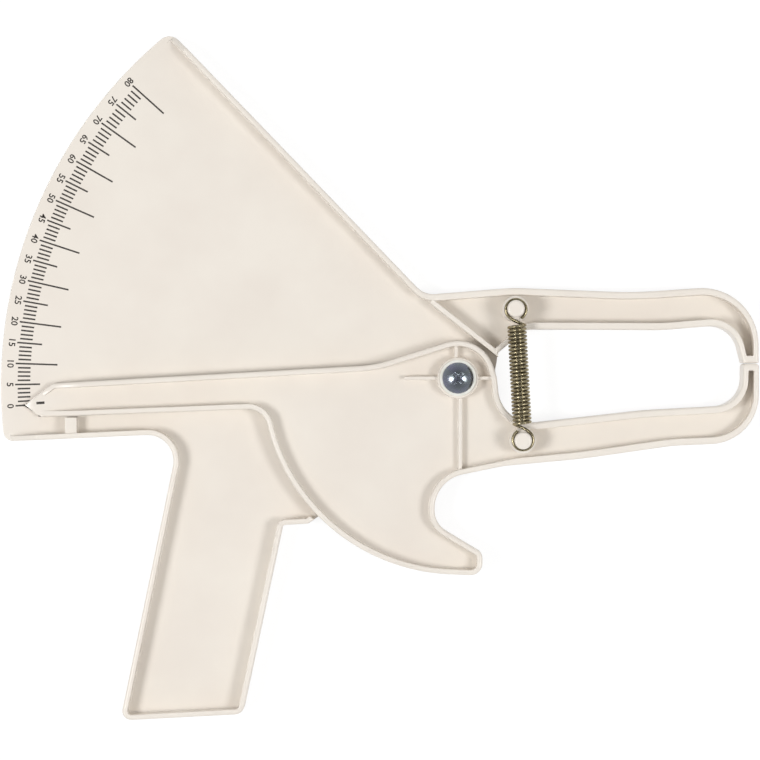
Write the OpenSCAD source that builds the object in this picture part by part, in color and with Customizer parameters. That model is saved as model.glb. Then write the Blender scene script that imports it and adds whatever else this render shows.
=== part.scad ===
// Skinfold caliper: a pistol-shaped measuring caliper of two injection-moulded parts.
// The body carries the fan-shaped scale plate, the grip and the upper jaw. The trigger
// lever turns on one screw in front of it and carries the pointer, the finger hook and
// the lower jaw. An extension spring between two moulded posts pulls the jaws shut.
//
// The object lies on its back: X to the right, Y towards the upper jaw, Z to the front.
// The origin is the pivot axis where it meets the plane that the back rims rest on.

/* [Scale] */
// Radius of the scale plate's curved edge
scale_r = 161.3; // [157:0.1:166]
// Angle of the zero mark below the line of the pivot, in degrees
zero_angle = 3.6; // [3:0.1:4.5]
// Jaw opening at the end of the scale, where the lever's travel ends
scale_max = 80; // [60:5:80]

/* [Jaws] */
// Distance from the pivot to the middle of the jaw faces
jaw_reach = 103.8; // [98:0.1:112]
// Width of the jaw faces along the arm
jaw_w = 5.6; // [4.6:0.1:7]
// Height of the jaw faces above the pivot's line
jaw_y = 5.25; // [4.5:0.05:6]
// Gap between the two jaw faces when they are shut
jaw_gap = 0.2; // [0.1:0.05:0.5]
// Thickness of the wall behind each jaw face
jaw_pad = 2.5; // [2:0.1:3]

/* [Body] */
// Depth of the rims on the back
back_rim = 4; // [3.8:0.1:5]
// Thickness of the flat plate
plate_t = 2; // [1.6:0.1:2.4]
// Height of the front rims over the plate
front_rim = 7; // [6:0.1:7.5]
// Thickness of the rims
rim_t = 1.85; // [1.5:0.05:2.1]
// Thickness of the rims along the jaw arms
arm_rim_t = 2.45; // [2.2:0.05:2.6]
// Thickness of the diagonal rib
brace_t = 1.7; // [1.2:0.1:2]

/* [Trigger lever] */
// Thickness of the lever's web
web_t = 1.8; // [1.4:0.1:2.2]
// Height of the lever's rims over its web
lever_rim = 5.8; // [5:0.1:6.5]
// Radius of the trigger's outer edge, from the pivot
trigger_r = 69.6; // [68:0.1:69.8]
// Radius of the lever's hub
hub_r = 13.2; // [12.4:0.1:13.3]
// Thickness of the ribs that cross at the hub
rib_t = 1.2; // [0.9:0.1:1.6]
// Height of those ribs over the web
rib_h = 3.4; // [2.5:0.1:4.5]
// Radius of the boss round the pivot
boss_r = 7.2; // [6.9:0.1:8]

/* [Pivot] */
// Diameter of the screw's shank
screw_d = 5; // [4.5:0.1:5.2]
// Diameter of the screw's head
head_d = 11; // [10:0.1:12]
// Height of the screw's head
head_h = 2.7; // [2.2:0.1:3]
// Outer diameter of the steel bush that the lever turns on
bush_d = 7; // [6.6:0.1:7.4]
// Radial clearance of the lever's bore on the bush
running_gap = 0.05; // [0.02:0.01:0.1]
// Thickness of the nylon washer under the head
head_washer_t = 0.8; // [0.5:0.1:1]
// Thickness of the nylon washer between body and lever
thrust_washer_t = 0.4; // [0.3:0.05:0.45]

/* [Spring] */
// Distance from the pivot to each spring post
post_orbit = 31.8; // [31.4:0.1:32.2]
// Angle of the upper post above the pivot's line, in degrees
post_up = 50.2; // [49.5:0.1:51]
// Angle of the lower post below the pivot's line, in degrees
post_down = 44; // [43:0.1:45]
// Outer diameter of the coils
coil_d = 6.9; // [6:0.1:7]
// Diameter of the wire
wire_d = 0.87; // [0.7:0.01:0.88]
// Distance from one coil to the next
coil_pitch = 1.305; // [1.3:0.005:1.32]
// Number of coils
coils = 26.5; // [20.5:1:26.5]
// Radius of the end loops, to the middle of the wire
loop_r = 3.6; // [3.5:0.05:3.9]

/* [Hidden] */

abs_ivory = "#EAE2D6";
nylon_white = "#F2F0EA";
spring_steel = "#6E6750";
zinc_plate = "#A9B2BD";

// levels, from the resting plane up
plate_back = back_rim;
plate_front = plate_back + plate_t;
body_top = plate_front + front_rim;
web_back = plate_front + 0.5;
web_front = web_back + web_t;
lever_top = web_front + lever_rim;
lever_back = 0.4;
boss_top = lever_top - 0.5;
washer_seat = boss_top + 0.15;
head_seat = washer_seat + head_washer_t;

// the spring clears the lever's rims when the jaws are wide open
spring_z = lever_top + coil_d / 2 + 0.35;
post_seat = spring_z - wire_d / 2 - 0.2;
post_r = 2.75;
post_head_r = 3.1;
post_base_r = 4.6;
post_shoulder_r = 3.6;

// curves are cut into chords that stray no further than this from the true arc
chord_sag = 0.02;
least_r = 0.4;
shaft_fn = 72;
over = 1;

// places, as [x, y]
upper_post = post_orbit * [cos(post_up), sin(post_up)];
lower_post = post_orbit * [cos(post_down), -sin(post_down)];
jaw_x0 = jaw_reach - jaw_w / 2;
jaw_x1 = jaw_reach + jaw_w / 2;
upper_jaw_y = jaw_y + jaw_gap / 2;
lower_jaw_y = jaw_y - jaw_gap / 2;
body_hub_r = hub_r + 0.5;
sweep_r = trigger_r + 2.1;
shelf = [-53, -51.6];

function polar(r, a) = [r * cos(a), r * sin(a)];
function unit(v) = v / norm(v);
function flat(v) = [v[0], v[1]];
function left_of(d) = [-d[1], d[0]];
function turn(a, b) = a[0] * b[1] - a[1] * b[0];

// ---- outlines -------------------------------------------------------------------
// An outline runs anticlockwise. Each corner is [x, y, radius of its rounding], and may end
// in the thickness of the rim along the edge that leaves it, where that isn't rim_t.

function arc_points(r, a0, a1, n) =
    [for (i = [0:n]) let (p = polar(r, a0 + (a1 - a0) * i / n)) [p[0], p[1], 0]];

function corner_arc(p, before, after, r) =
    let (u = unit(before - p), w = unit(after - p), half = acos(u * w) / 2,
         c = p + unit(u + w) * r / sin(half),
         s = p + u * r / tan(half) - c, e = p + w * r / tan(half) - c,
         a0 = atan2(s[1], s[0]), sweep = atan2(turn(s, e), s * e),
         n = max(1, ceil(abs(sweep) / (2 * acos(1 - min(0.5, chord_sag / r))))))
    [for (i = [0:n]) c + polar(r, a0 + sweep * i / n)];

function rounded(corners) =
    let (n = len(corners))
    [for (i = [0:n - 1])
        let (p = flat(corners[i]), r = corners[i][2])
        each r == 0 ? [p] : corner_arc(p, flat(corners[(i + n - 1) % n]),
                                       flat(corners[(i + 1) % n]), r)];

function rim_from(corner) = len(corner) > 3 ? corner[3] : rim_t;

// the inside of the rims: outer corners tighten, inner ones widen
function drawn_in(corners) =
    let (n = len(corners))
    [for (i = [0:n - 1])
        let (before = corners[(i + n - 1) % n], p = flat(corners[i]), r = corners[i][2],
             d1 = unit(p - flat(before)), d2 = unit(flat(corners[(i + 1) % n]) - p),
             n1 = left_of(d1), n2 = left_of(d2), bend = turn(d1, d2),
             t1 = rim_from(before), t2 = rim_from(corners[i]), t = (t1 + t2) / 2,
             q = p + (t1 == t2 ? t * (n1 + n2) / (1 + n1 * n2) : (t1 * d2 - t2 * d1) / bend))
        [q[0], q[1], r == 0 ? 0 : bend > 0 ? max(least_r, r - t) : r + t]];

// The fan reaches from a little below the zero mark to a little past the last one. The
// lever turns by the angle at which its jaw stands scale_max from the upper one.
open_angle = 2 * asin(scale_max / (2 * jaw_reach));
fan_foot = 180 + zero_angle + 3.58;
fan_crown = 180 + zero_angle - open_angle - 9.5;
fan_chords = 28;
fan_middle = [-1.3, -2.4];
echo(lever_travel_deg = open_angle);
fan_arc = [for (p = arc_points(scale_r, fan_crown + 2, fan_foot - 2, fan_chords))
    [p[0] + fan_middle[0], p[1] + fan_middle[1], 0]];
foot_corner = fan_middle + polar(scale_r, fan_foot);
crown_corner = fan_middle + polar(scale_r, fan_crown);
hub_from = atan2(shelf[1], shelf[0]) + acos(body_hub_r / norm(shelf));

body_corners = concat(
    // lower edge of the fan, then round the grip to the shelf over the fingers
    [[foot_corner[0], foot_corner[1], 3.5], [-98.6, -19.65, 9.2], [-119.7, -121.4, 3.2],
     [-76.2, -119.1, 3.5], [-62, -52.1, 1.2], [shelf[0], shelf[1], 2.5]],
    // behind the lever and round the hub
    arc_points(body_hub_r, hub_from, 12, 9),
    // throat side of the upper jaw
    [[14, 6, 5], [14.3, 9, 1.2], [24.3, 17.25, 5, arm_rim_t], [73, 17.05, 60, arm_rim_t],
     [jaw_x0 - 3.4, 19.1, 10], [jaw_x0, upper_jaw_y, 0.6]],
    // back of the upper jaw, then the straight edge of the fan
    [[jaw_x1, upper_jaw_y, 0.6], [jaw_x1 - 0.2, 33.3, 20, arm_rim_t],
     [62, 30.3, 150, arm_rim_t], [19.5, 32, 50, arm_rim_t], [-11.9, 29.5, 8],
     [crown_corner[0], crown_corner[1], 4.5]],
    fan_arc);

pointer_r = 154.7;
pointer_tip = -polar(pointer_r, zero_angle);
trigger_from = 188.9;
trigger_to = 268;

lever_corners = concat(
    // lower edge of the pointer, then the trigger's edge, which keeps its distance
    [[-148.3, -13.9, 1]],
    [[trigger_r * cos(trigger_from), trigger_r * sin(trigger_from), 7]],
    arc_points(trigger_r, trigger_from + 6.6, trigger_to, 24),
    // the finger hook
    [[8.7, -70, 4.2], [8.7, -61.9, 3.2], [-8.25, -51.7, 8.5], [-8.25, -36.2, 12.3]],
    // back of the lower jaw, its face and its throat side
    [[16, -31.2, 40, arm_rim_t], [44, -28.6, 200, arm_rim_t], [76, -24, 60, arm_rim_t],
     [jaw_x1 - 0.1, -22.7, 17.5], [jaw_x1, lower_jaw_y, 1.3], [jaw_x0, lower_jaw_y, 1.3],
     [jaw_x0 - 0.1, -9.5, 10, arm_rim_t], [66, -11.4, 120, arm_rim_t], [15.5, -17.1, 12.3],
     [13.8, 0.2, 9]],
    // over the hub and along the top of the pointer
    arc_points(hub_r, 16, 107.8, 13),
    [[-29.5, 4.6, 40], [-144, -1.9, 3], [pointer_tip[0], pointer_tip[1], 0.6]]);

// a straight rib between two points
module bar(p, q, t) {
    side = left_of(unit(q - p)) * t / 2;
    polygon([p + side, p - side, q - side, q + side]);
}

// a disc sector from the pivot
module sector(r, a0, a1, n = 24) {
    polygon(concat([[0, 0]], [for (i = [0:n]) polar(r, a0 + (a1 - a0) * i / n)]));
}

// A cutter that lets a rim sink into the plate over a run, seen from the end of the rim
// at "from": it takes away all that stands over the slope, and over a level stretch behind.
module rim_slope(from, direction, run, low, high, width = 12, level = 0) {
    far = [2 * run, 2 * high - low];
    translate([from[0], from[1], 0]) rotate([90, 0, direction]) translate([0, 0, -width / 2])
        linear_extrude(width)
            polygon(concat(level > 0 ? [[-level, low]] : [], [[0, low], far, [-level, far[1]]]));
}

module tube(r_out, r_in, z0, z1) {
    translate([0, 0, z0]) difference() {
        cylinder(r = r_out, h = z1 - z0, $fn = shaft_fn);
        translate([0, 0, -over]) cylinder(r = r_in, h = z1 - z0 + 2 * over, $fn = shaft_fn);
    }
}

// ---- spring post: foot with a sloping shoulder, pin through the loop, upset head ----
module spring_post(place, foot_z) {
    pin_top = spring_z + wire_d / 2 + 0.25;
    translate([place[0], place[1], 0]) rotate_extrude($fn = shaft_fn)
        polygon(concat(
            [[0, foot_z - 0.1], [post_base_r, foot_z - 0.1], [post_base_r, post_seat - 1.1],
             [post_shoulder_r, post_seat - 0.1], [post_shoulder_r, post_seat],
             [post_r, post_seat], [post_r, pin_top], [post_head_r, pin_top]],
            [for (a = [15:15:90]) [post_head_r - 1 + cos(a), pin_top + 0.35 + sin(a)]],
            [[0, pin_top + 1.35]]));
}

// ---- body: scale plate, grip and upper jaw in one moulding ---------------------------
stop_x = -137.2;
stop_w = 4.2;
stop_top = -13.95;
nut_ring_r = 8.6;
nut_ring_in = 6.6;
rim_end = plate_front + 0.2;
brace_from = [-9.4, 27.3];
brace_to = [15, 8];
fork_r = 16;

module rim_room(corners, z0, z1) {
    translate([0, 0, z0]) linear_extrude(z1 - z0) polygon(rounded(drawn_in(corners)));
}

module caliper_body() color(abs_ivory) difference() {
    union() {
        difference() {
            linear_extrude(body_top) polygon(rounded(body_corners));
            rim_room(body_corners, plate_front, body_top + over);
            rim_room(body_corners, -over, plate_back);
            // no front rim along the scale's curved edge, nor where the lever sweeps
            translate([0, 0, plate_front]) linear_extrude(front_rim + over) {
                difference() {
                    sector(scale_r + 12, fan_crown - 6, fan_foot + 6);
                    translate(fan_middle) circle(r = scale_r - rim_t - 0.4, $fn = 180);
                }
                sector(sweep_r, 200, 335);
                circle(r = fork_r, $fn = shaft_fn);
            }
            rim_slope(foot_corner + [1.5, 0], 3, 10.5, rim_end, body_top);
            rim_slope(crown_corner + [1, -1], -46, 7.4, rim_end, body_top);
        }
        // diagonal rib from the fan's corner to the fork by the hub
        translate([0, 0, plate_front - 0.1]) linear_extrude(front_rim + 0.1)
            intersection() {
                bar(brace_from, brace_to, brace_t);
                polygon(rounded(body_corners));
            }
        // stop that the pointer rests on at zero
        translate([stop_x - stop_w / 2, -21.8, plate_front - 0.1])
            cube([stop_w, stop_top + 21.8, front_rim - 0.9]);
        // wall behind the jaw face
        translate([jaw_x0 + 0.6, upper_jaw_y + 0.1, 0])
            cube([jaw_w - 1.2, jaw_pad - 0.1, body_top]);
        // ring that guards the nut on the back
        tube(nut_ring_r, nut_ring_in, 0, plate_back + 0.1);
        spring_post(upper_post, plate_front);
    }
    translate([0, 0, plate_back - over])
        cylinder(d = screw_d + 0.2, h = plate_t + 2 * over, $fn = shaft_fn);
}

// ---- trigger lever: pointer, trigger and lower jaw in one moulding ------------------
jaw_rim_from = 15.5;

module trigger_lever() color(abs_ivory) difference() {
    union() {
        difference() {
            translate([0, 0, web_back]) linear_extrude(lever_top - web_back)
                polygon(rounded(lever_corners));
            rim_room(lever_corners, web_front, lever_top + over);
            // the rims sink into the web before the pointer's tip
            rim_slope([-147.5, -8], 0, 14, web_front, lever_top, 24, 10);
        }
        // the jaw arm alone has rims on its back too, level with those of the body
        translate([0, 0, lever_back]) linear_extrude(web_back - lever_back + 0.1)
            intersection() {
                difference() {
                    polygon(rounded(lever_corners));
                    difference() {
                        polygon(rounded(drawn_in(lever_corners)));
                        translate([jaw_rim_from, -60]) square([rim_t, 80]);
                    }
                }
                translate([jaw_rim_from, -60]) square([jaw_reach, 80]);
            }
        translate([jaw_x0 + 1.2, lower_jaw_y - jaw_pad, lever_back])
            cube([jaw_w - 2.4, jaw_pad - 0.1, lever_top - lever_back]);
        // boss and crossed ribs round the pivot
        translate([0, 0, web_front - 0.1])
            cylinder(r = boss_r, h = boss_top - web_front + 0.1, $fn = shaft_fn);
        translate([0, 0, web_front - 0.1]) linear_extrude(rib_h + 0.1) {
            bar([-18.8, 0], [hub_r - 1, 0], rib_t);
            bar([-0.6, 0], [-0.6, hub_r - 1], rib_t);
            bar([0.9, 0], [0.9, -33], rib_t);
        }
        spring_post(lower_post, web_front);
    }
    translate([0, 0, web_back - over])
        cylinder(r = bush_d / 2 + running_gap, h = lever_top, $fn = shaft_fn);
}

// ---- pivot: screw, bush, washers and nut ------------------------------------------
shank_end = 0.5;
recess_w = 1.1;
recess_l = 5.2;
recess_h = 1.5;

module pivot_screw() color(zinc_plate) {
    lip = 0.5;
    dome_r = (pow(head_d / 2, 2) + pow(head_h - lip, 2)) / (2 * (head_h - lip));
    difference() {
        union() {
            translate([0, 0, shank_end])
                cylinder(d = screw_d, h = head_seat - shank_end + 0.1, $fn = shaft_fn);
            intersection() {
                translate([0, 0, head_seat]) cylinder(d = head_d, h = head_h, $fn = shaft_fn);
                translate([0, 0, head_seat + head_h - dome_r]) sphere(r = dome_r, $fn = shaft_fn);
            }
        }
        translate([0, 0, head_seat + head_h - recess_h / 2 + over / 2]) for (a = [45, 135])
            rotate(a) cube([recess_l, recess_w, recess_h + over], center = true);
    }
}

module head_washer() color(nylon_white) tube(6.65, screw_d / 2 + 0.1, washer_seat, head_seat);

module pivot_bush() color(zinc_plate) tube(bush_d / 2, screw_d / 2 + 0.1, plate_front, washer_seat);

module thrust_washer() color(nylon_white)
    tube(8, bush_d / 2 + 0.15, plate_front, plate_front + thrust_washer_t);

back_washer_t = 1;
nut_t = 2.7;
nut_flats = 8;

module back_washer() color(zinc_plate)
    tube(5, screw_d / 2 + 0.15, plate_back - back_washer_t, plate_back);

module lock_nut() color(zinc_plate) {
    z0 = plate_back - back_washer_t - nut_t;
    corner_r = nut_flats / sqrt(3);
    difference() {
        intersection() {
            translate([0, 0, z0]) cylinder(r = corner_r, h = nut_t, $fn = 6);
            // turned chamfers take the tips off the six corners
            rotate_extrude($fn = shaft_fn)
                polygon([[0, z0], [corner_r - 0.6, z0], [corner_r, z0 + 0.4],
                         [corner_r, z0 + nut_t - 0.4], [corner_r - 0.6, z0 + nut_t],
                         [0, z0 + nut_t]]);
        }
        translate([0, 0, z0 - over])
            cylinder(d = screw_d + 0.06, h = nut_t + 2 * over, $fn = shaft_fn);
    }
}

// ---- extension spring ---------------------------------------------------------------
// Worked out along its own axis: s from the upper post to the lower one, u across it in
// the plane of the loops, v to the front. Each loop bears on the far side of its post.
coil_r = (coil_d - wire_d) / 2;
post_span = norm(lower_post - upper_post);
loop_slip = loop_r - wire_d / 2 - post_r - 0.05;
loop_span = post_span - 2 * loop_slip;
coil_start = (loop_span - coils * coil_pitch) / 2;
curl_rings = 8;
loop_rings = 24;
loop_open = 42;
loop_leave = -52;
sides = 6;

// end loop with its straight tail, then the sweep of wire into the first coil
loop_turn = 360 + loop_leave - loop_open;
loop_part = [for (i = [0:loop_rings])
    let (a = loop_open + loop_turn * i / loop_rings) [loop_r * cos(a), loop_r * sin(a), 0]];
loop_tail = loop_part[0] + wire_d * [sin(loop_open), -cos(loop_open), 0];
bridge_from = loop_part[loop_rings];
bridge_to = [coil_start, coil_r, 0];
bridge_pull = 5;
bridge_a = bridge_from + bridge_pull * [-sin(loop_leave), cos(loop_leave), 0] * 0.5;
bridge_b = bridge_to - bridge_pull * [0.07, 0, 1] * 0.35;
bridge = [for (i = [1:5]) let (t = i / 6)
    pow(1 - t, 3) * bridge_from + 3 * t * pow(1 - t, 2) * bridge_a
    + 3 * t * t * (1 - t) * bridge_b + pow(t, 3) * bridge_to];
end_part = concat([loop_tail], loop_part, bridge);

coil_steps = coils * curl_rings;
coil_part = [for (i = [0:coil_steps]) let (a = 360 * i / curl_rings)
    [coil_start + coil_pitch * i / curl_rings, coil_r * cos(a), coil_r * sin(a)]];
far_part = [for (i = [len(end_part) - 1:-1:0]) let (p = end_part[i])
    [loop_span - p[0], -p[1], p[2]]];
wire_path = concat(end_part, coil_part, far_part);

// least distance between two stretches of the wire that don't follow each other
apart = 6;
wire_gap = min([for (i = [0:len(wire_path) - 1 - apart]) for (j = [i + apart:len(wire_path) - 1])
    norm(wire_path[i] - wire_path[j])]) - wire_d;
echo(spring_least_gap_mm = wire_gap, coils = coils, rings = len(wire_path));

function tangent(path, i) =
    unit(path[min(i + 1, len(path) - 1)] - path[max(i - 1, 0)]);
function across(n, t) = unit(n - (n * t) * t);
// a direction across the wire, carried along it without twist
function carried(path) =
    [for (i = 0, n = across([0, 0, 1], tangent(path, 0)); i < len(path);
          n = across(n, tangent(path, min(i + 1, len(path) - 1))), i = i + 1) n];

module wire(path, r) {
    n = len(path);
    normals = carried(path);
    points = [for (i = [0:n - 1]) let (b = cross(tangent(path, i), normals[i]))
        for (k = [0:sides - 1])
            path[i] + r * (cos(360 * k / sides) * normals[i] + sin(360 * k / sides) * b)];
    walls = [for (i = [0:n - 2]) for (k = [0:sides - 1])
        let (a = i * sides + k, b = i * sides + (k + 1) % sides)
        each [[a, a + sides, b], [b, a + sides, b + sides]]];
    last = (n - 1) * sides;
    ends = [for (k = [1:sides - 2]) each [[0, k, k + 1], [last, last + k + 1, last + k]]];
    polyhedron(points = points, faces = concat(walls, ends));
}

module spring() color(spring_steel)
    translate([upper_post[0], upper_post[1], spring_z])
        rotate(atan2(lower_post[1] - upper_post[1], lower_post[0] - upper_post[0]))
            translate([loop_slip, 0, 0]) wire(wire_path, wire_d / 2);

caliper_body();
trigger_lever();
spring();
pivot_screw();
head_washer();
pivot_bush();
thrust_washer();
back_washer();
lock_nut();
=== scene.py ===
# Skinfold caliper: two ivory ABS mouldings that turn on one screw, with an extension spring.
# It lies on its back, X to the right, Y towards the upper jaw, Z to the front; lengths are in
# metres unless a name or a comment says mm.
import math

import bmesh
import bpy
from mathutils import Matrix, Vector


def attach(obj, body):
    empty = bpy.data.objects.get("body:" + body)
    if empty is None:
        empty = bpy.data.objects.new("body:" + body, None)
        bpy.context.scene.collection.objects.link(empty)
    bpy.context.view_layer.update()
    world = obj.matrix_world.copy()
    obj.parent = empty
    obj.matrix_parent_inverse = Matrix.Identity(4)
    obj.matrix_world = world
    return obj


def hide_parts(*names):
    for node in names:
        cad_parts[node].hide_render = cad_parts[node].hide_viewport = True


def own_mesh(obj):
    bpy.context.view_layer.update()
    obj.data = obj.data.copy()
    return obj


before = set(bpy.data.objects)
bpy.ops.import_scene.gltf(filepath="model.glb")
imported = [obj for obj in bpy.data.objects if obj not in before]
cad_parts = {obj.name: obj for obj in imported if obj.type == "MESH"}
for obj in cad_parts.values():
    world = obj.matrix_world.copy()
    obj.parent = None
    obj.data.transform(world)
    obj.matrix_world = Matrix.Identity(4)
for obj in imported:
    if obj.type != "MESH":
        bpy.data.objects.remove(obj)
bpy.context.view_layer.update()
MM = 0.001

# ---- camera --------------------------------------------------------------------------
# The photograph looks straight down on the caliper from about 1.3 m above its rims. One
# pixel of its 760 is 0.354 mm at the height of the rims.
rim_level = 13.5 * MM
view_distance = 1300 * MM
pixel = 0.354 * MM
scene = bpy.context.scene
scene.view_settings.view_transform = "Standard"
camera_data = bpy.data.cameras.new("camera")
camera_data.lens = camera_data.sensor_width * view_distance / (760 * pixel)
camera_data.clip_start = 0.05
camera = bpy.data.objects.new("camera", camera_data)
camera.location = (-27.6 * MM, -0.7 * MM, rim_level + view_distance)
scene.collection.objects.link(camera)
scene.camera = camera


# ---- floor and light -----------------------------------------------------------------
# White studio paper under the caliper. Two soft boxes stand to its left and right, a little
# towards the grip, and throw the paired shadows that the photograph shows in the pockets.
def add(tree, kind, inputs=None, **settings):
    """Adds a node, sets its settings, and links or fills its inputs."""
    node = tree.nodes.new(kind)
    for key, value in settings.items():
        setattr(node, key, value)
    for key, value in (inputs or {}).items():
        if isinstance(value, bpy.types.NodeSocket):
            tree.links.new(value, node.inputs[key])
        else:
            node.inputs[key].default_value = value
    return node


def srgb(colour):
    """A hex colour as linear RGBA."""
    parts = [int(colour[i:i + 2], 16) / 255 for i in (1, 3, 5)]
    return [*(p / 12.92 if p <= 0.04045 else ((p + 0.055) / 1.055) ** 2.4 for p in parts), 1]


def seen_directly(tree):
    """1 for what the camera, a reflection or clear plastic shows, 0 for bounced light."""
    path = add(tree, "ShaderNodeLightPath")
    either = add(tree, "ShaderNodeMath", {0: path.outputs["Is Camera Ray"],
                 1: path.outputs["Is Glossy Ray"]}, operation="MAXIMUM")
    return add(tree, "ShaderNodeMath", {0: either.outputs[0],
               1: path.outputs["Is Transmission Ray"]}, operation="MAXIMUM").outputs[0]


paper = bpy.data.materials.new("matte_studio_paper")
paper.use_nodes = True
tree = paper.node_tree
tree.nodes.clear()
bounce = add(tree, "ShaderNodeBsdfDiffuse", {"Color": srgb("#DEDEDC")})
shadowed = add(tree, "ShaderNodeBsdfDiffuse", {"Color": srgb("#828282")})
glow = add(tree, "ShaderNodeEmission", {"Color": (1, 1, 1, 1), "Strength": 0.84})
shown = add(tree, "ShaderNodeAddShader", {0: shadowed.outputs[0], 1: glow.outputs[0]})
both = add(tree, "ShaderNodeMixShader",
           {0: seen_directly(tree), 1: bounce.outputs[0], 2: shown.outputs[0]})
add(tree, "ShaderNodeOutputMaterial", {"Surface": both.outputs[0]})

floor_mesh = bpy.data.meshes.new("floor")
half = 4.0
under_rims = 0.1 * MM
floor_mesh.from_pydata([(-half, -half, 0), (half, -half, 0), (half, half, 0),
                        (-half, half, 0)], [], [(0, 1, 2, 3)])
floor_mesh.transform(Matrix.Translation((0, 0, -under_rims)))
floor_mesh.materials.append(paper)
floor = bpy.data.objects.new("floor", floor_mesh)
scene.collection.objects.link(floor)

# the room: pale round the horizon and darker overhead, as the metal's reflections show
world = bpy.data.worlds.new("studio")
scene.world = world
world.use_nodes = True
tree = world.node_tree
tree.nodes.clear()
upward = add(tree, "ShaderNodeSeparateXYZ",
             {0: add(tree, "ShaderNodeTexCoord").outputs["Generated"]})
height = add(tree, "ShaderNodeMath", {0: upward.outputs["Z"]}, operation="ABSOLUTE")
level = add(tree, "ShaderNodeMapRange",
            {0: height.outputs[0], 1: 0.0, 2: 1.0, 3: 0.80, 4: 0.20})
room = add(tree, "ShaderNodeBackground",
           {"Color": (1, 1, 1, 1), "Strength": level.outputs[0]})
backdrop = add(tree, "ShaderNodeBackground", {"Color": (1, 1, 1, 1), "Strength": 1.0})
is_camera = add(tree, "ShaderNodeLightPath").outputs["Is Camera Ray"]
both = add(tree, "ShaderNodeMixShader",
           {0: is_camera, 1: room.outputs[0], 2: backdrop.outputs[0]})
add(tree, "ShaderNodeOutputWorld", {"Surface": both.outputs[0]})

box_away = 2.6
for side, power in ((-1, 1.40), (1, 1.08)):
    lamp_data = bpy.data.lights.new("soft_box", "AREA")
    lamp_data.shape = "DISK"
    lamp_data.size = 0.17 * box_away
    lamp_data.energy = power * box_away ** 2
    lamp = bpy.data.objects.new("soft_box", lamp_data)
    offset = Vector((side * 0.300, -0.055, 0.475)) * box_away
    lamp.location = Vector((-0.0276, -0.0007, 0.0)) + offset
    lamp.rotation_euler = (-offset).to_track_quat("-Z", "Y").to_euler()
    scene.collection.objects.link(lamp)

# ---- body moulding -------------------------------------------------------------------
# Scale plate, grip and upper jaw in one injection moulding of ivory ABS. Its rims stand to
# the front and to the back of a flat 2 mm plate, with rounded outer edges and small fillets.
plate_front = 6.0
body_top = 13.0
post_places = ((20.356, 24.432), (22.875, -22.090))
brace_end = (-9.4, 27.3)


def joined_triangles(node, fitted, crease):
    """A CAD node's surface, welded, with its triangles joined to flat faces. It is cut along
    the plane x = crease, and fitted moves single points before that."""
    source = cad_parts[node].data
    mesh = bpy.data.meshes.new(node)
    mesh.from_pydata([v.co[:] for v in source.vertices], [],
                     [p.vertices[:] for p in source.polygons])
    surface = bmesh.new()
    surface.from_mesh(mesh)
    bmesh.ops.remove_doubles(surface, verts=surface.verts, dist=2e-6)
    if crease:
        bmesh.ops.bisect_plane(surface, geom=surface.verts[:] + surface.edges[:] + surface.faces[:],
                               plane_co=(crease * MM, 0, 0), plane_no=(1, 0, 0))
    for v in surface.verts:
        fitted(v.co)
    bmesh.ops.remove_doubles(surface, verts=surface.verts, dist=2e-6)
    bmesh.ops.dissolve_degenerate(surface, dist=1e-6, edges=surface.edges)
    bmesh.ops.dissolve_limit(surface, angle_limit=math.radians(0.4),
                             verts=surface.verts, edges=surface.edges)
    return surface


def wall_height(edge):
    """The height in mm of the lowest upright face beside an edge, if it has one."""
    return min((max(v.co.z for v in face.verts) - min(v.co.z for v in face.verts)
                for face in edge.link_faces if abs(face.normal.z) < 0.5), default=1) / MM


def even_runs(surface, weight):
    """Gives each run of edges that hardly turn one rounding, that of its longest edge."""
    left = {edge for edge in surface.edges if edge[weight] > 0}
    while left:
        run, ends = [], [left.pop()]
        while ends:
            edge = ends.pop()
            run.append(edge)
            for corner in edge.verts:
                along = (corner.co - edge.other_vert(corner).co).normalized()
                for other in corner.link_edges:
                    if other in left and along.dot(
                            (other.other_vert(corner).co - corner.co).normalized()) > 0.95:
                        left.remove(other)
                        ends.append(other)
        shared = max(run, key=lambda edge: edge.calc_length())[weight]
        for edge in run:
            edge[weight] = shared


def crossing(a, b, c, d):
    """Where the segments ab and cd cross, or None."""
    turn = (b - a).cross(d - c)
    if abs(turn) < 1e-16:
        return None
    s, t = (c - a).cross(d - c) / turn, (c - a).cross(b - a) / turn
    return a + (b - a) * s if 0 < s < 1 and 0 < t < 1 else None


def untangle(mesh, most=3 * MM):
    """Draws together the small loops in a flat face's border where two roundings meet."""
    surface = bmesh.new()
    surface.from_mesh(mesh)
    for _ in range(6):
        drawn = set()
        for face in [f for f in surface.faces if len(f.verts) > 4]:
            ring = face.verts[:]
            n = len(ring)
            level = face.normal.to_track_quat("Z", "Y").to_matrix().transposed()
            flat = [level @ v.co for v in ring]
            for i in range(n):
                for j in range(i + 2, min(i + n - 1, n)):
                    a, b, c, d = flat[i].xy, flat[(i + 1) % n].xy, flat[j].xy, flat[(j + 1) % n].xy
                    if (max(a.x, b.x) < min(c.x, d.x) or max(c.x, d.x) < min(a.x, b.x)
                            or not (spot := crossing(a, b, c, d))):
                        continue
                    loop = [ring[k % n] for k in (range(i + 1, j + 1) if 2 * (j - i) <= n
                                                  else range(j + 1, i + n + 1))]
                    meet = level.transposed() @ Vector((*spot, flat[i].z))
                    if (drawn.isdisjoint(loop) and len(set(loop)) > 1
                            and max((v.co - meet).length for v in loop) < most):
                        for v in loop:
                            v.co = meet
                        drawn.update(loop)
        bmesh.ops.remove_doubles(surface, verts=surface.verts, dist=2e-6)
        bmesh.ops.dissolve_degenerate(surface, dist=2e-6, edges=surface.edges)
        if not drawn:
            break
    surface.to_mesh(mesh)
    surface.free()


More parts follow.
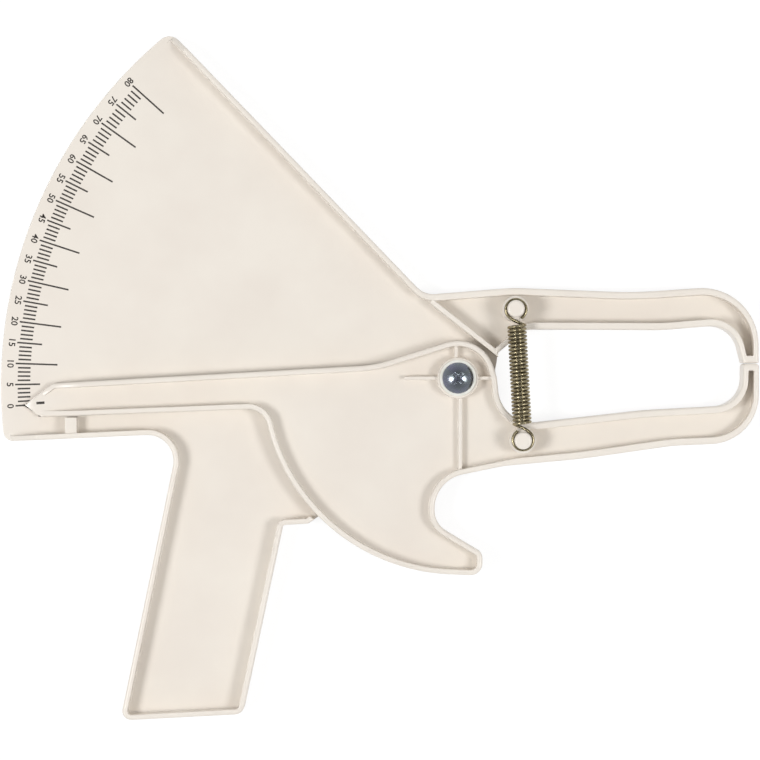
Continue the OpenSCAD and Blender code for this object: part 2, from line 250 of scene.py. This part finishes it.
def moulded(node, name, body, finish, rounding, fitted=lambda spot: None, crease=None):
    """The piece that stands for a CAD node: the same form with its edges rounded.
    rounding gives the radius in mm for an edge, from the edge and the angle it folds by. It
    takes no more than a third of a low wall's height."""
    surface = joined_triangles(node, fitted, crease)
    weight = surface.edges.layers.float.new("bevel_weight_edge")
    for edge in surface.edges:
        if len(edge.link_faces) == 2:
            fold = math.degrees(edge.calc_face_angle_signed())
            if abs(fold) > 24:
                edge[weight] = min(rounding(edge, fold), wall_height(edge) / 3)
    even_runs(surface, weight)
    mesh = bpy.data.meshes.new(name)
    surface.to_mesh(mesh)
    surface.free()
    mesh.materials.append(finish)
    mesh.polygons.foreach_set("use_smooth", [True] * len(mesh.polygons))
    piece = bpy.data.objects.new(name, mesh)
    scene.collection.objects.link(piece)
    soften = piece.modifiers.new("rounded_edges", "BEVEL")
    soften.limit_method = "WEIGHT"
    soften.width = MM
    soften.segments = 3
    soften.use_clamp_overlap = False
    soften.miter_outer = "MITER_SHARP"
    bpy.context.view_layer.update()
    piece.data = bpy.data.meshes.new_from_object(
        piece.evaluated_get(bpy.context.evaluated_depsgraph_get()))
    piece.data.name = name
    piece.modifiers.remove(soften)
    untangle(piece.data)
    piece.modifiers.new("even_shading", "WEIGHTED_NORMAL").keep_sharp = True
    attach(piece, body)
    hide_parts(node)
    return piece


def near_post(spot):
    return any((spot.xy - Vector(place) * MM).length < 4.8 * MM for place in post_places)


def foot(face):
    """The lowest level that a face reaches, in mm."""
    return min(v.co.z for v in face.verts) / MM


def body_rounding(edge, fold):
    spot = (edge.verts[0].co + edge.verts[1].co) / 2
    if near_post(spot):
        return 0.08
    if spot.xy.length < 9.5 * MM:
        return 0.25
    if (spot.xy - Vector(brace_end) * MM).length < 3 * MM and fold > 0:
        return 0.1
    if fold < 0:
        return 0.3
    walls = [f for f in edge.link_faces if abs(f.normal.z) < 0.5]
    on_rim = spot.z > (plate_front + 0.02) * MM
    if on_rim and len(walls) == 1 and foot(walls[0]) < plate_front - 1:
        return 0.42 if at_jaw(spot) else 0.9
    return 0.3


jaw_line = 5.25
jaw_ends = (101.0, 106.59)


def at_jaw(spot):
    return spot.x > 100 * MM and abs(spot.y - jaw_line * MM) < 0.25 * MM


# where a rim sinks into the plate: the place, and the height that its form still has there
run_outs = (((-160.0, -21.5), 6.6), ((-102.5, 120.5), 6.85))
# the stop's place along the lower wall, and that wall's outer line
stop_span = (-140, -134)
wall_start, wall_slope = (-161.3, -22.56), 0.0464


def body_fitted(spot):
    """Squares the small roundings at the jaw face, lets the rims sink wholly into the plate,
    and ends the stop flush with the wall."""
    square_jaw(spot, 1)
    for place, end in run_outs:
        if (spot.xy - Vector(place) * MM).length < 13 * MM and spot.z > 6.3 * MM:
            level = body_top - (body_top - spot.z / MM) * 7 / (body_top - end)
            spot.z = (level if level > plate_front + 0.15 else plate_front) * MM
    wall_y = wall_start[1] + (spot.x / MM - wall_start[0]) * wall_slope
    if stop_span[0] < spot.x / MM < stop_span[1] and spot.y / MM < wall_y - 0.05:
        spot.y = wall_y * MM


def square_jaw(spot, side):
    """Moves the points of a jaw's rounded corners to where its straight sides would meet."""
    for end in jaw_ends:
        past = Vector((spot.x / MM - end, (spot.y / MM - jaw_line) * side))
        if abs(past.x) < 0.62 and 0 < past.y < 0.75:
            spot.x = end * MM
            spot.y = (jaw_line + 0.1 * side) * MM


# ABS, moulded in a polished tool: an even warm ivory with a soft gloss. The eye sees faint
# flow clouding, a fine orange peel in the highlights, and hairline handling scratches.
ivory_abs = bpy.data.materials.new("moulded_ivory_abs")
ivory_abs.use_nodes = True
tree = ivory_abs.node_tree
tree.nodes.clear()
place = add(tree, "ShaderNodeTexCoord").outputs["Object"]
clouding = add(tree, "ShaderNodeTexNoise", {"Vector": place, "Scale": 1 / (28 * MM),
               "Detail": 3.0, "Roughness": 0.55})
tone = add(tree, "ShaderNodeValToRGB", {"Fac": clouding.outputs[0]})
tone.color_ramp.elements[0].position = 0.34
tone.color_ramp.elements[0].color = srgb("#E9E1D7")
tone.color_ramp.elements[1].position = 0.66
tone.color_ramp.elements[1].color = srgb("#EDE6DC")
hairlines = add(tree, "ShaderNodeTexNoise", {
    "Vector": add(tree, "ShaderNodeMapping", {"Vector": place, "Rotation": (0, 0, 0.7),
                  "Scale": (1, 9, 1)}).outputs[0],
    "Scale": 1 / (9 * MM), "Detail": 2.0})
gloss = add(tree, "ShaderNodeMapRange", {0: hairlines.outputs[0], 1: 0.35, 2: 0.75,
            3: 0.30, 4: 0.33})
peel = add(tree, "ShaderNodeTexNoise", {"Vector": place, "Scale": 1 / (1.1 * MM), "Detail": 1.0})
relief = add(tree, "ShaderNodeBump", {"Height": peel.outputs[0], "Strength": 0.10,
             "Distance": 0.012 * MM})
shader = add(tree, "ShaderNodeBsdfPrincipled", {"Base Color": tone.outputs[0],
             "Roughness": gloss.outputs[0], "IOR": 1.54, "Normal": relief.outputs[0]})
add(tree, "ShaderNodeOutputMaterial", {"Surface": shader.outputs[0]})

body_moulding = moulded("caliper_body", "body_moulding", "frame", ivory_abs, body_rounding,
                        body_fitted)

# ---- lever moulding ------------------------------------------------------------------
# Pointer, trigger with its finger hook and lower jaw in one injection moulding of the same
# ABS. Its thin web slides over the plate, and only the jaw arm has rims on its back as well.
web_front = 8.3


def lever_rounding(edge, fold):
    spot = (edge.verts[0].co + edge.verts[1].co) / 2
    if near_post(spot):
        return 0.1
    if spot.xy.length < 4 * MM:
        return 0.08
    if fold < 0:
        return 0.3
    walls = [f for f in edge.link_faces if abs(f.normal.z) < 0.5]
    on_rim = spot.z > (web_front + 0.02) * MM
    if on_rim and len(walls) == 1 and foot(walls[0]) < web_front - 1:
        return 0.9
    return 0.3


# the pointer's flat end thins towards its tip
tip_from, tip_to, tip_drop = -150.4, -154.6, 1.2


def tip_top(x):
    """The level in mm of the pointer's flat end, at x in mm."""
    return web_front - tip_drop * min(1, max(0, (x - tip_from) / (tip_to - tip_from)))


def lever_fitted(spot):
    if abs(spot.z / MM - web_front) < 0.02:
        spot.z = tip_top(spot.x / MM) * MM


lever_moulding = moulded("trigger_lever", "lever_moulding", "lever", ivory_abs, lever_rounding,
                         lever_fitted, tip_from)

# ---- printed scale -------------------------------------------------------------------
# Millimetre marks from 0 to 80 along the plate's curved edge, with a number at every fifth.
# They are pad-printed in a dark ink, about as thin as paint.
# The spacing is fitted to the photographed marks with the drop of a point that swings on the
# pivot. The rise is only what fits: the jaw itself lies 5.25 mm above the pivot's line.
jaw_reach = 103.5
fitted_rise = 20.2
zero_angle = math.radians(3.6)
scale_length = 80
print_middle = (-0.5, -2.6)
mark_out = 157.0
ink_t = 0.03

# Pad-printed ink: brown-black and matt, a little starved in places where the pad lifted.
ink = bpy.data.materials.new("pad_printed_ink")
ink.use_nodes = True
tree = ink.node_tree
tree.nodes.clear()
place = add(tree, "ShaderNodeTexCoord").outputs["Object"]
starved = add(tree, "ShaderNodeTexNoise", {"Vector": place, "Scale": 1 / (0.8 * MM),
              "Detail": 3.0})
tone = add(tree, "ShaderNodeValToRGB", {"Fac": starved.outputs[0]})
tone.color_ramp.elements[0].position = 0.45
tone.color_ramp.elements[0].color = srgb("#2B2622")
tone.color_ramp.elements[1].position = 0.75
tone.color_ramp.elements[1].color = srgb("#4A433B")
shader = add(tree, "ShaderNodeBsdfPrincipled",
             {"Base Color": tone.outputs[0], "Roughness": 0.5, "IOR": 1.5})
add(tree, "ShaderNodeOutputMaterial", {"Surface": shader.outputs[0]})


def made_by_nodes(name, tree, sizes, start=None):
    """Runs a geometry tree with its named inputs set, and keeps the result as plain mesh."""
    draft = bpy.data.objects.new(name, start or bpy.data.meshes.new(name))
    scene.collection.objects.link(draft)
    nodes = draft.modifiers.new("nodes", "NODES")
    nodes.node_group = tree
    for item in tree.interface.items_tree:
        if item.item_type == "SOCKET" and item.in_out == "INPUT" and item.name in sizes:
            nodes[item.identifier] = sizes[item.name]
    bpy.context.view_layer.update()
    done = draft.evaluated_get(bpy.context.evaluated_depsgraph_get())
    mesh = bpy.data.meshes.new_from_object(done)
    mesh.name = name
    bpy.data.objects.remove(draft)
    piece = bpy.data.objects.new(name, mesh)
    scene.collection.objects.link(piece)
    return piece


marks_tree = bpy.data.node_groups.new("scale_marks", "GeometryNodeTree")
marks_tree.interface.new_socket("Geometry", in_out="OUTPUT", socket_type="NodeSocketGeometry")
for name, kind in (("Count", "Int"), ("Jaw Reach", "Float"), ("Fitted Rise", "Float"),
                   ("Zero Angle", "Float"), ("Middle", "Vector"), ("Outer Radius", "Float"),
                   ("Ten Length", "Float"), ("Five Length", "Float"),
                   ("One Length", "Float"), ("One Inset", "Float"), ("Line Width", "Float"),
                   ("Ink Thickness", "Float"), ("Level", "Float"), ("Ink", "Material")):
    marks_tree.interface.new_socket(name, in_out="INPUT", socket_type="NodeSocket" + kind)
given = add(marks_tree, "NodeGroupInput").outputs
number = add(marks_tree, "GeometryNodeInputIndex").outputs[0]


def maths(operation, *values):
    return add(marks_tree, "ShaderNodeMath", dict(enumerate(values)),
               operation=operation).outputs[0]


def every(step):
    return maths("LESS_THAN", maths("MODULO", maths("ADD", number, 0.25), float(step)), 0.5)


def swing(opening, reach, rise):
    """How far the lever turns for a jaw opening: its drop is reach sin + rise (1 - cos)."""
    arm = maths("SQRT", maths("ADD", maths("MULTIPLY", reach, reach),
                              maths("MULTIPLY", rise, rise)))
    lean = maths("ARCTAN2", rise, reach)
    return maths("ADD", lean, maths("ARCSINE", maths("DIVIDE", maths("SUBTRACT", opening, rise),
                                                     arm)))


turned_by = swing(maths("MULTIPLY", number, MM), given["Jaw Reach"], given["Fitted Rise"])
bearing = maths("SUBTRACT", maths("ADD", given["Zero Angle"], math.pi), turned_by)
is_five, is_ten = every(5), every(10)
length_five = add(marks_tree, "ShaderNodeMix", {0: is_five, 2: given["One Length"],
                  3: given["Five Length"]}).outputs[0]
length = add(marks_tree, "ShaderNodeMix", {0: is_ten, 2: length_five,
             3: given["Ten Length"]}).outputs[0]
inset = maths("MULTIPLY", maths("SUBTRACT", 1.0, is_five), given["One Inset"])
middle = maths("SUBTRACT", maths("SUBTRACT", given["Outer Radius"], inset),
               maths("MULTIPLY", length, 0.5))
spots = add(marks_tree, "GeometryNodeMeshLine", {"Count": given["Count"],
            "Offset": (0, 0, 0)})
outward = add(marks_tree, "ShaderNodeCombineXYZ",
              {0: maths("COSINE", bearing), 1: maths("SINE", bearing)}).outputs[0]
aside = add(marks_tree, "ShaderNodeVectorMath", {0: given["Middle"], 1: outward},
            operation="DOT_PRODUCT").outputs["Value"]
reached = maths("ADD", middle, aside)
placed = add(marks_tree, "GeometryNodeSetPosition", {
    "Geometry": spots.outputs[0],
    "Position": add(marks_tree, "ShaderNodeCombineXYZ", {
        0: maths("MULTIPLY", reached, maths("COSINE", bearing)),
        1: maths("MULTIPLY", reached, maths("SINE", bearing)), 2: given["Level"]}).outputs[0]})
block = add(marks_tree, "GeometryNodeMeshCube", {"Size": (1, 1, 1)})
lines = add(marks_tree, "GeometryNodeInstanceOnPoints", {
    "Points": placed.outputs[0], "Instance": block.outputs[0],
    "Rotation": add(marks_tree, "ShaderNodeCombineXYZ", {2: bearing}).outputs[0],
    "Scale": add(marks_tree, "ShaderNodeCombineXYZ", {
        0: length, 1: given["Line Width"], 2: given["Ink Thickness"]}).outputs[0]})
solid = add(marks_tree, "GeometryNodeRealizeInstances", {0: lines.outputs[0]})
inked = add(marks_tree, "GeometryNodeSetMaterial",
            {"Geometry": solid.outputs[0], "Material": given["Ink"]})
add(marks_tree, "NodeGroupOutput", {0: inked.outputs[0]})

scale_marks = made_by_nodes("scale_marks", marks_tree, {
    "Count": scale_length + 1, "Jaw Reach": jaw_reach * MM, "Fitted Rise": fitted_rise * MM,
    "Zero Angle": zero_angle, "Middle": (print_middle[0] * MM, print_middle[1] * MM, 0),
    "Outer Radius": mark_out * MM, "Ten Length": 14.9 * MM, "Five Length": 8.9 * MM,
    "One Length": 4.5 * MM, "One Inset": 0.9 * MM, "Line Width": 0.58 * MM,
    "Ink Thickness": ink_t * MM, "Level": plate_front * MM, "Ink": ink})
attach(scale_marks, "frame")


def bearing_of(opening_mm):
    """The bearing of a mark from the pivot, for a jaw opening in mm."""
    return (math.pi + zero_angle - math.atan2(fitted_rise, jaw_reach)
            - math.asin((opening_mm - fitted_rise) / math.hypot(jaw_reach, fitted_rise)))


# numbers at every 5 mm, outside the marks, with their tops towards the pivot
figure_height = 2.4
figure_r = 158.8
figures = bmesh.new()
for value in range(0, scale_length + 1, 5):
    words = bpy.data.curves.new("figure", "FONT")
    words.body = str(value)
    words.align_x = "CENTER"
    words.align_y = "CENTER"
    words.size = 1.0
    words.extrude = 0.0
    words.offset = 0.018
    words.resolution_u = 3
    draft = bpy.data.objects.new("figure", words)
    scene.collection.objects.link(draft)
    bpy.context.view_layer.update()
    flat = bpy.data.meshes.new_from_object(
        draft.evaluated_get(bpy.context.evaluated_depsgraph_get()))
    bpy.data.objects.remove(draft)
    low = min(v.co.y for v in flat.vertices)
    high = max(v.co.y for v in flat.vertices)
    size = figure_height * MM / (high - low)
    bearing = bearing_of(value)
    outward = Vector((math.cos(bearing), math.sin(bearing), 0))
    reading = Vector((-outward.y, outward.x, 0))
    spot = outward * (figure_r + outward.xy.dot(Vector(print_middle))) * MM
    spot.z = plate_front * MM
    turn = Matrix((reading, -outward, (0, 0, 1))).transposed().to_4x4()
    flat.transform(Matrix.Translation(spot) @ turn @ Matrix.Diagonal((size, size, 1, 1))
                   @ Matrix.Translation((0, -(low + high) / 2, 0)))
    figures.from_mesh(flat)
bmesh.ops.remove_doubles(figures, verts=figures.verts, dist=1e-7)
bmesh.ops.dissolve_limit(figures, angle_limit=0.01, verts=figures.verts, edges=figures.edges)
raised = bmesh.ops.extrude_face_region(figures, geom=list(figures.faces))
bmesh.ops.translate(figures, vec=(0, 0, ink_t / 2 * MM),
                    verts=[v for v in raised["geom"] if isinstance(v, bmesh.types.BMVert)])
bmesh.ops.recalc_face_normals(figures, faces=figures.faces)
figures_mesh = bpy.data.meshes.new("scale_numbers")
figures.to_mesh(figures_mesh)
figures_mesh.materials.append(ink)
scale_numbers = bpy.data.objects.new("scale_numbers", figures_mesh)
scene.collection.objects.link(scale_numbers)
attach(scale_numbers, "frame")

# ---- index mark on the pointer -------------------------------------------------------
# A short bold line printed across the flat end of the pointer, with a hairline from it to
# the tip, in the same ink. The reading is taken where the hairline meets the scale.
index_mesh = bpy.data.meshes.new("pointer_index")
index_bm = bmesh.new()
aim = Matrix.Rotation(math.pi + zero_angle, 4, "Z")
index_aside = -0.5
bold_line, hairline = (147.1, 150.0, 0.9), (149.9, 153.8, 0.18)
for start, end, width in (bold_line, hairline):
    block = bmesh.ops.create_cube(index_bm, size=1.0)
    bmesh.ops.transform(index_bm, verts=block["verts"], matrix=aim @ Matrix.Translation(
        ((start + end) / 2 * MM, index_aside * MM, web_front * MM)) @ Matrix.Diagonal(
        ((end - start) * MM, width * MM, ink_t * MM, 1)))
for v in index_bm.verts:
    v.co.z += (tip_top(v.co.x / MM) - web_front) * MM
index_bm.to_mesh(index_mesh)
index_bm.free()
index_mesh.materials.append(ink)
pointer_index = bpy.data.objects.new("pointer_index", index_mesh)
scene.collection.objects.link(pointer_index)
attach(pointer_index, "lever")

# ---- pivot screw ---------------------------------------------------------------------
# A cold-headed steel machine screw with a low domed head and a cross recess, blue-passivated
# over bright zinc. It holds both mouldings and is locked by the nut on the back.
head_seat = 14.55
head_r = 5.5
head_h = 2.7
shank_r = 2.5


def turned(name, body, finish, profile, edge_r, steps=96):
    """A piece turned from a closed profile of (radius, height) in mm, its edges broken."""
    surface = bmesh.new()
    rings = []
    for r, z in profile:
        count = 1 if r == 0 else steps
        rings.append([surface.verts.new((r * MM * math.cos(2 * math.pi * k / steps),
                                         r * MM * math.sin(2 * math.pi * k / steps), z * MM))
                      for k in range(count)])
    for this, after in zip(rings, rings[1:] + rings[:1]):
        if len(this) == len(after) == 1:
            continue
        for k in range(steps):
            loop = [this[k % len(this)], this[(k + 1) % len(this)],
                    after[(k + 1) % len(after)], after[k % len(after)]]
            surface.faces.new(list(dict.fromkeys(loop)))
    bmesh.ops.recalc_face_normals(surface, faces=surface.faces)
    mesh = bpy.data.meshes.new(name)
    surface.to_mesh(mesh)
    surface.free()
    mesh.polygons.foreach_set("use_smooth", [True] * len(mesh.polygons))
    mesh.materials.append(finish)
    piece = bpy.data.objects.new(name, mesh)
    scene.collection.objects.link(piece)
    soften = piece.modifiers.new("broken_edges", "BEVEL")
    soften.limit_method = "ANGLE"
    soften.angle_limit = math.radians(35)
    soften.width = edge_r * MM
    soften.segments = 2
    soften.use_clamp_overlap = False
    piece.modifiers.new("even_shading", "WEIGHTED_NORMAL").keep_sharp = True
    return piece


# Zinc plate with a clear blue passivation: a cool, mid-grey metal. It shows a slight
# grain from the plating bath and drifts between grey-green and violet-blue.
zinc = bpy.data.materials.new("blue_passivated_zinc")
zinc.use_nodes = True
tree = zinc.node_tree
tree.nodes.clear()
place = add(tree, "ShaderNodeTexCoord").outputs["Object"]
drift = add(tree, "ShaderNodeTexNoise", {"Vector": place, "Scale": 1 / (4 * MM), "Detail": 2.0})
tone = add(tree, "ShaderNodeValToRGB", {"Fac": drift.outputs[0]})
tone.color_ramp.elements[0].position = 0.38
tone.color_ramp.elements[0].color = srgb("#868E93")
tone.color_ramp.elements[1].position = 0.62
tone.color_ramp.elements[1].color = srgb("#8A8DA0")
grain = add(tree, "ShaderNodeTexNoise", {"Vector": place, "Scale": 1 / (0.35 * MM),
            "Detail": 2.0})
gloss = add(tree, "ShaderNodeMapRange", {0: grain.outputs[0], 1: 0.3, 2: 0.7, 3: 0.17, 4: 0.3})
relief = add(tree, "ShaderNodeBump", {"Height": grain.outputs[0], "Strength": 0.25,
             "Distance": 0.02 * MM})
shader = add(tree, "ShaderNodeBsdfPrincipled", {"Base Color": tone.outputs[0], "Metallic": 1.0,
             "Roughness": gloss.outputs[0], "Normal": relief.outputs[0]})
add(tree, "ShaderNodeOutputMaterial", {"Surface": shader.outputs[0]})

lip = 0.5
dome_r = (head_r ** 2 + (head_h - lip) ** 2) / (2 * (head_h - lip))
dome_reach = math.asin(head_r / dome_r)
dome = [(dome_r * math.sin(dome_reach * k / 14),
         head_seat + head_h - dome_r + dome_r * math.cos(dome_reach * k / 14))
        for k in range(14, -1, -1)]
screw_draft = turned("screw_draft", "frame", zinc,
                     [(0, 0.5), (shank_r - 0.35, 0.5), (shank_r, 0.95), (shank_r, head_seat),
                      (head_r, head_seat)] + dome, 0.15)
# the cross recess: two tapering slots and a conical middle
recess = bmesh.new()
recess_top = head_seat + head_h + 0.4
for quarter in (45, 135):
    slot = bmesh.ops.create_cube(recess, size=1.0)["verts"]
    for v in slot:
        deep = v.co.z < 0
        v.co = Vector((v.co.x * (3.0 if deep else 6.2), v.co.y * (0.9 if deep else 1.3),
                       recess_top - (2.1 if deep else 0.0))) * MM
    bmesh.ops.rotate(recess, verts=slot, cent=(0, 0, 0),
                     matrix=Matrix.Rotation(math.radians(quarter), 3, "Z"))
bmesh.ops.recalc_face_normals(recess, faces=recess.faces)
recess_mesh = bpy.data.meshes.new("recess")
recess.to_mesh(recess_mesh)
recess.free()
recess_cutter = bpy.data.objects.new("recess", recess_mesh)
scene.collection.objects.link(recess_cutter)
cut = screw_draft.modifiers.new("cross_recess", "BOOLEAN")
cut.object = recess_cutter
cut.solver = "EXACT"
cut.use_self = True
screw_draft.modifiers.move(len(screw_draft.modifiers) - 1, 1)
bpy.context.view_layer.update()
screw_mesh = bpy.data.meshes.new_from_object(
    screw_draft.evaluated_get(bpy.context.evaluated_depsgraph_get()))
bpy.data.objects.remove(screw_draft)
bpy.data.objects.remove(recess_cutter)
screw_mesh.name = "domed_screw"
screw_mesh.set_sharp_from_angle(angle=math.radians(32))
domed_screw = bpy.data.objects.new("domed_screw", screw_mesh)
scene.collection.objects.link(domed_screw)
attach(domed_screw, "frame")
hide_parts("pivot_screw")

# ---- washers and bush ----------------------------------------------------------------
# A nylon washer lies under the screw's head and a thinner one between the mouldings. The lever
# turns on a plain steel bush, so that the screw can be tightened without clamping it.
# Natural nylon, turned from rod: milky white with a waxy sheen and faint lathe rings.
nylon = bpy.data.materials.new("natural_nylon")
nylon.use_nodes = True
tree = nylon.node_tree
tree.nodes.clear()
place = add(tree, "ShaderNodeTexCoord").outputs["Object"]
milk = add(tree, "ShaderNodeTexNoise", {"Vector": place, "Scale": 1 / (3 * MM), "Detail": 2.0})
tone = add(tree, "ShaderNodeValToRGB", {"Fac": milk.outputs[0]})
tone.color_ramp.elements[0].position = 0.35
tone.color_ramp.elements[0].color = srgb("#E6E6DC")
tone.color_ramp.elements[1].position = 0.65
tone.color_ramp.elements[1].color = srgb("#F0EFE8")
rings = add(tree, "ShaderNodeTexWave", {"Vector": place, "Scale": 1 / (4.5 * MM),
            "Distortion": 0.4, "Detail": 1.0}, wave_type="RINGS", rings_direction="Z")
relief = add(tree, "ShaderNodeBump", {"Height": rings.outputs["Fac"], "Strength": 0.15,
             "Distance": 0.02 * MM})
shader = add(tree, "ShaderNodeBsdfPrincipled", {"Base Color": tone.outputs[0],
             "Roughness": 0.42, "IOR": 1.53, "Normal": relief.outputs[0]})
add(tree, "ShaderNodeOutputMaterial", {"Surface": shader.outputs[0]})


def washer(r_in, r_out, low, high):
    return [(r_in, low), (r_out, low), (r_out, high), (r_in, high)]


for name, node, body, finish, slot, profile in (
        ("screw_washer", "head_washer", "frame", nylon, "nylon_white",
         washer(2.6, 6.4, 13.75, 14.55)),
        ("slide_washer", "thrust_washer", "frame", nylon, "nylon_white",
         washer(3.65, 8.0, 6.0, 6.4)),
        ("steel_bush", "pivot_bush", "frame", zinc, "zinc_plate",
         washer(2.6, 3.5, 6.0, 13.75)),
        ("nut_washer", "back_washer", "frame", zinc, "zinc_plate",
         washer(2.65, 5.0, 3.0, 4.0))):
    ring = turned(name, body, finish, profile, 0.12)
    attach(ring, body)
    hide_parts(node)

# ---- lock nut ------------------------------------------------------------------------
# A thin hexagon nut of zinc-plated steel, turned up against its washer inside the guard ring
# on the back. Its six corners are chamfered.
back_nut = moulded("lock_nut", "back_nut", "frame", zinc, lambda edge, fold: 0.12)

# ---- spring --------------------------------------------------------------------------
# An extension spring of oil-tempered steel wire: 26.5 turns and a round loop at each end, which
# hang on the moulded posts. It is made of two stretches that lie in one another at rest, so
# that turns come out of the upper one when the lever pulls.
spring_z = 17.9
wire_r = 0.525
coil_r = 2.925
loop_r = 3.6
post_pin_r = 2.75
stretch = 13.11
slide_turns = 10
pitch = stretch / slide_turns
turns = 26.5
coil_steps = 28

# Oil-tempered spring wire: an olive-brown oxide on steel, with fine draw marks and lighter
# rubs. The eye sees two rows of small glints, one on each turn for each lamp.
spring_wire = bpy.data.materials.new("oil_tempered_spring_wire")
spring_wire.use_nodes = True
tree = spring_wire.node_tree
tree.nodes.clear()
place = add(tree, "ShaderNodeTexCoord").outputs["Object"]
oxide = add(tree, "ShaderNodeTexNoise", {"Vector": place, "Scale": 1 / (2.2 * MM),
            "Detail": 4.0, "Roughness": 0.6})
tone = add(tree, "ShaderNodeValToRGB", {"Fac": oxide.outputs[0]})
tone.color_ramp.elements[0].position = 0.36
tone.color_ramp.elements[0].color = srgb("#857B61")
tone.color_ramp.elements[1].position = 0.68
tone.color_ramp.elements[1].color = srgb("#B3A98C")
draw_marks = add(tree, "ShaderNodeTexNoise", {"Vector": place, "Scale": 1 / (0.3 * MM),
                 "Detail": 2.0})
gloss = add(tree, "ShaderNodeMapRange", {0: draw_marks.outputs[0], 1: 0.3, 2: 0.7,
            3: 0.2, 4: 0.34})
shader = add(tree, "ShaderNodeBsdfPrincipled", {"Base Color": tone.outputs[0],
             "Metallic": 1.0, "Roughness": gloss.outputs[0]})
add(tree, "ShaderNodeOutputMaterial", {"Surface": shader.outputs[0]})

upper = Vector((*post_places[0], spring_z)) * MM
lower = Vector((*post_places[1], spring_z)) * MM
along = (lower - upper).normalized()
across = Vector((-along.y, along.x, 0))
loop_slip = loop_r - wire_r - post_pin_r - 0.05
span = (lower - upper).length / MM - 2 * loop_slip
coil_start = (span - turns * pitch) / 2


def blended(a, b, c, d, t):
    return ((1 - t) ** 3 * a + 3 * t * (1 - t) ** 2 * b + 3 * t * t * (1 - t) * c + t ** 3 * d)


# an end loop with its short tail, and the wire that leads from it into the first turn
loop_open, loop_leave = math.radians(42), math.radians(-52)
end_part = [Vector((loop_r * math.cos(loop_open), loop_r * math.sin(loop_open), 0))
            + Vector((math.sin(loop_open), -math.cos(loop_open), 0)) * 0.9]
loop_turn = 2 * math.pi + loop_leave - loop_open
for k in range(57):
    angle = loop_open + loop_turn * k / 56
    end_part.append(Vector((loop_r * math.cos(angle), loop_r * math.sin(angle), 0)))
leaving = end_part[-1]
arriving = Vector((coil_start, coil_r, 0))
pull_a = leaving + Vector((-math.sin(loop_leave), math.cos(loop_leave), 0)) * 2.5
pull_b = arriving - Vector((0.07, 0, 1)) * 1.75
end_part += [blended(leaving, pull_a, pull_b, arriving, k / 12) for k in range(1, 12)]
turn_part = [Vector((coil_start + pitch * k / coil_steps,
                     coil_r * math.cos(2 * math.pi * k / coil_steps),
                     coil_r * math.sin(2 * math.pi * k / coil_steps)))
             for k in range(round(turns * coil_steps) + 1)]
far_part = [Vector((span - p.x, -p.y, p.z)) for p in reversed(end_part)]

wire_tree = bpy.data.node_groups.new("wire_along_path", "GeometryNodeTree")
wire_tree.interface.new_socket("Geometry", in_out="OUTPUT", socket_type="NodeSocketGeometry")
wire_tree.interface.new_socket("Path", in_out="INPUT", socket_type="NodeSocketGeometry")
wire_tree.interface.new_socket("Wire Radius", in_out="INPUT", socket_type="NodeSocketFloat")
wire_tree.interface.new_socket("Sides", in_out="INPUT", socket_type="NodeSocketInt")
wire_tree.interface.new_socket("Wire", in_out="INPUT", socket_type="NodeSocketMaterial")
given = add(wire_tree, "NodeGroupInput").outputs
path = add(wire_tree, "GeometryNodeMeshToCurve", {"Mesh": given["Path"]})
section = add(wire_tree, "GeometryNodeCurvePrimitiveCircle",
              {"Resolution": given["Sides"], "Radius": given["Wire Radius"]})
swept = add(wire_tree, "GeometryNodeCurveToMesh", {"Curve": path.outputs[0],
            "Profile Curve": section.outputs[0], "Fill Caps": True})
smooth = add(wire_tree, "GeometryNodeSetShadeSmooth", {"Geometry": swept.outputs[0]})
solid = add(wire_tree, "GeometryNodeRealizeInstances", {0: smooth.outputs[0]})
drawn = add(wire_tree, "GeometryNodeSetMaterial",
            {"Geometry": solid.outputs[0], "Material": given["Wire"]})
add(wire_tree, "NodeGroupOutput", {0: drawn.outputs[0]})

to_place = Matrix((along, across, (0, 0, 1))).transposed().to_4x4()
to_place = Matrix.Translation(upper + along * loop_slip * MM) @ to_place


def wire_stretch(name, points, radius):
    route = bpy.data.meshes.new(name)
    route.from_pydata([to_place @ (p * MM) for p in points],
                      [(k, k + 1) for k in range(len(points) - 1)], [])
    piece = made_by_nodes(name, wire_tree, {"Wire Radius": radius * MM, "Sides": 14,
                                            "Wire": spring_wire}, route)
    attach(piece, "spring")
    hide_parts("spring")
    return piece


wire_stretch("spring_turns", end_part + turn_part, wire_r)
slide_from = round((turns - slide_turns - 1.5) * coil_steps)
spring_slide = wire_stretch("spring_slide", turn_part[slide_from:] + far_part, wire_r - 0.008)
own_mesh(spring_slide)
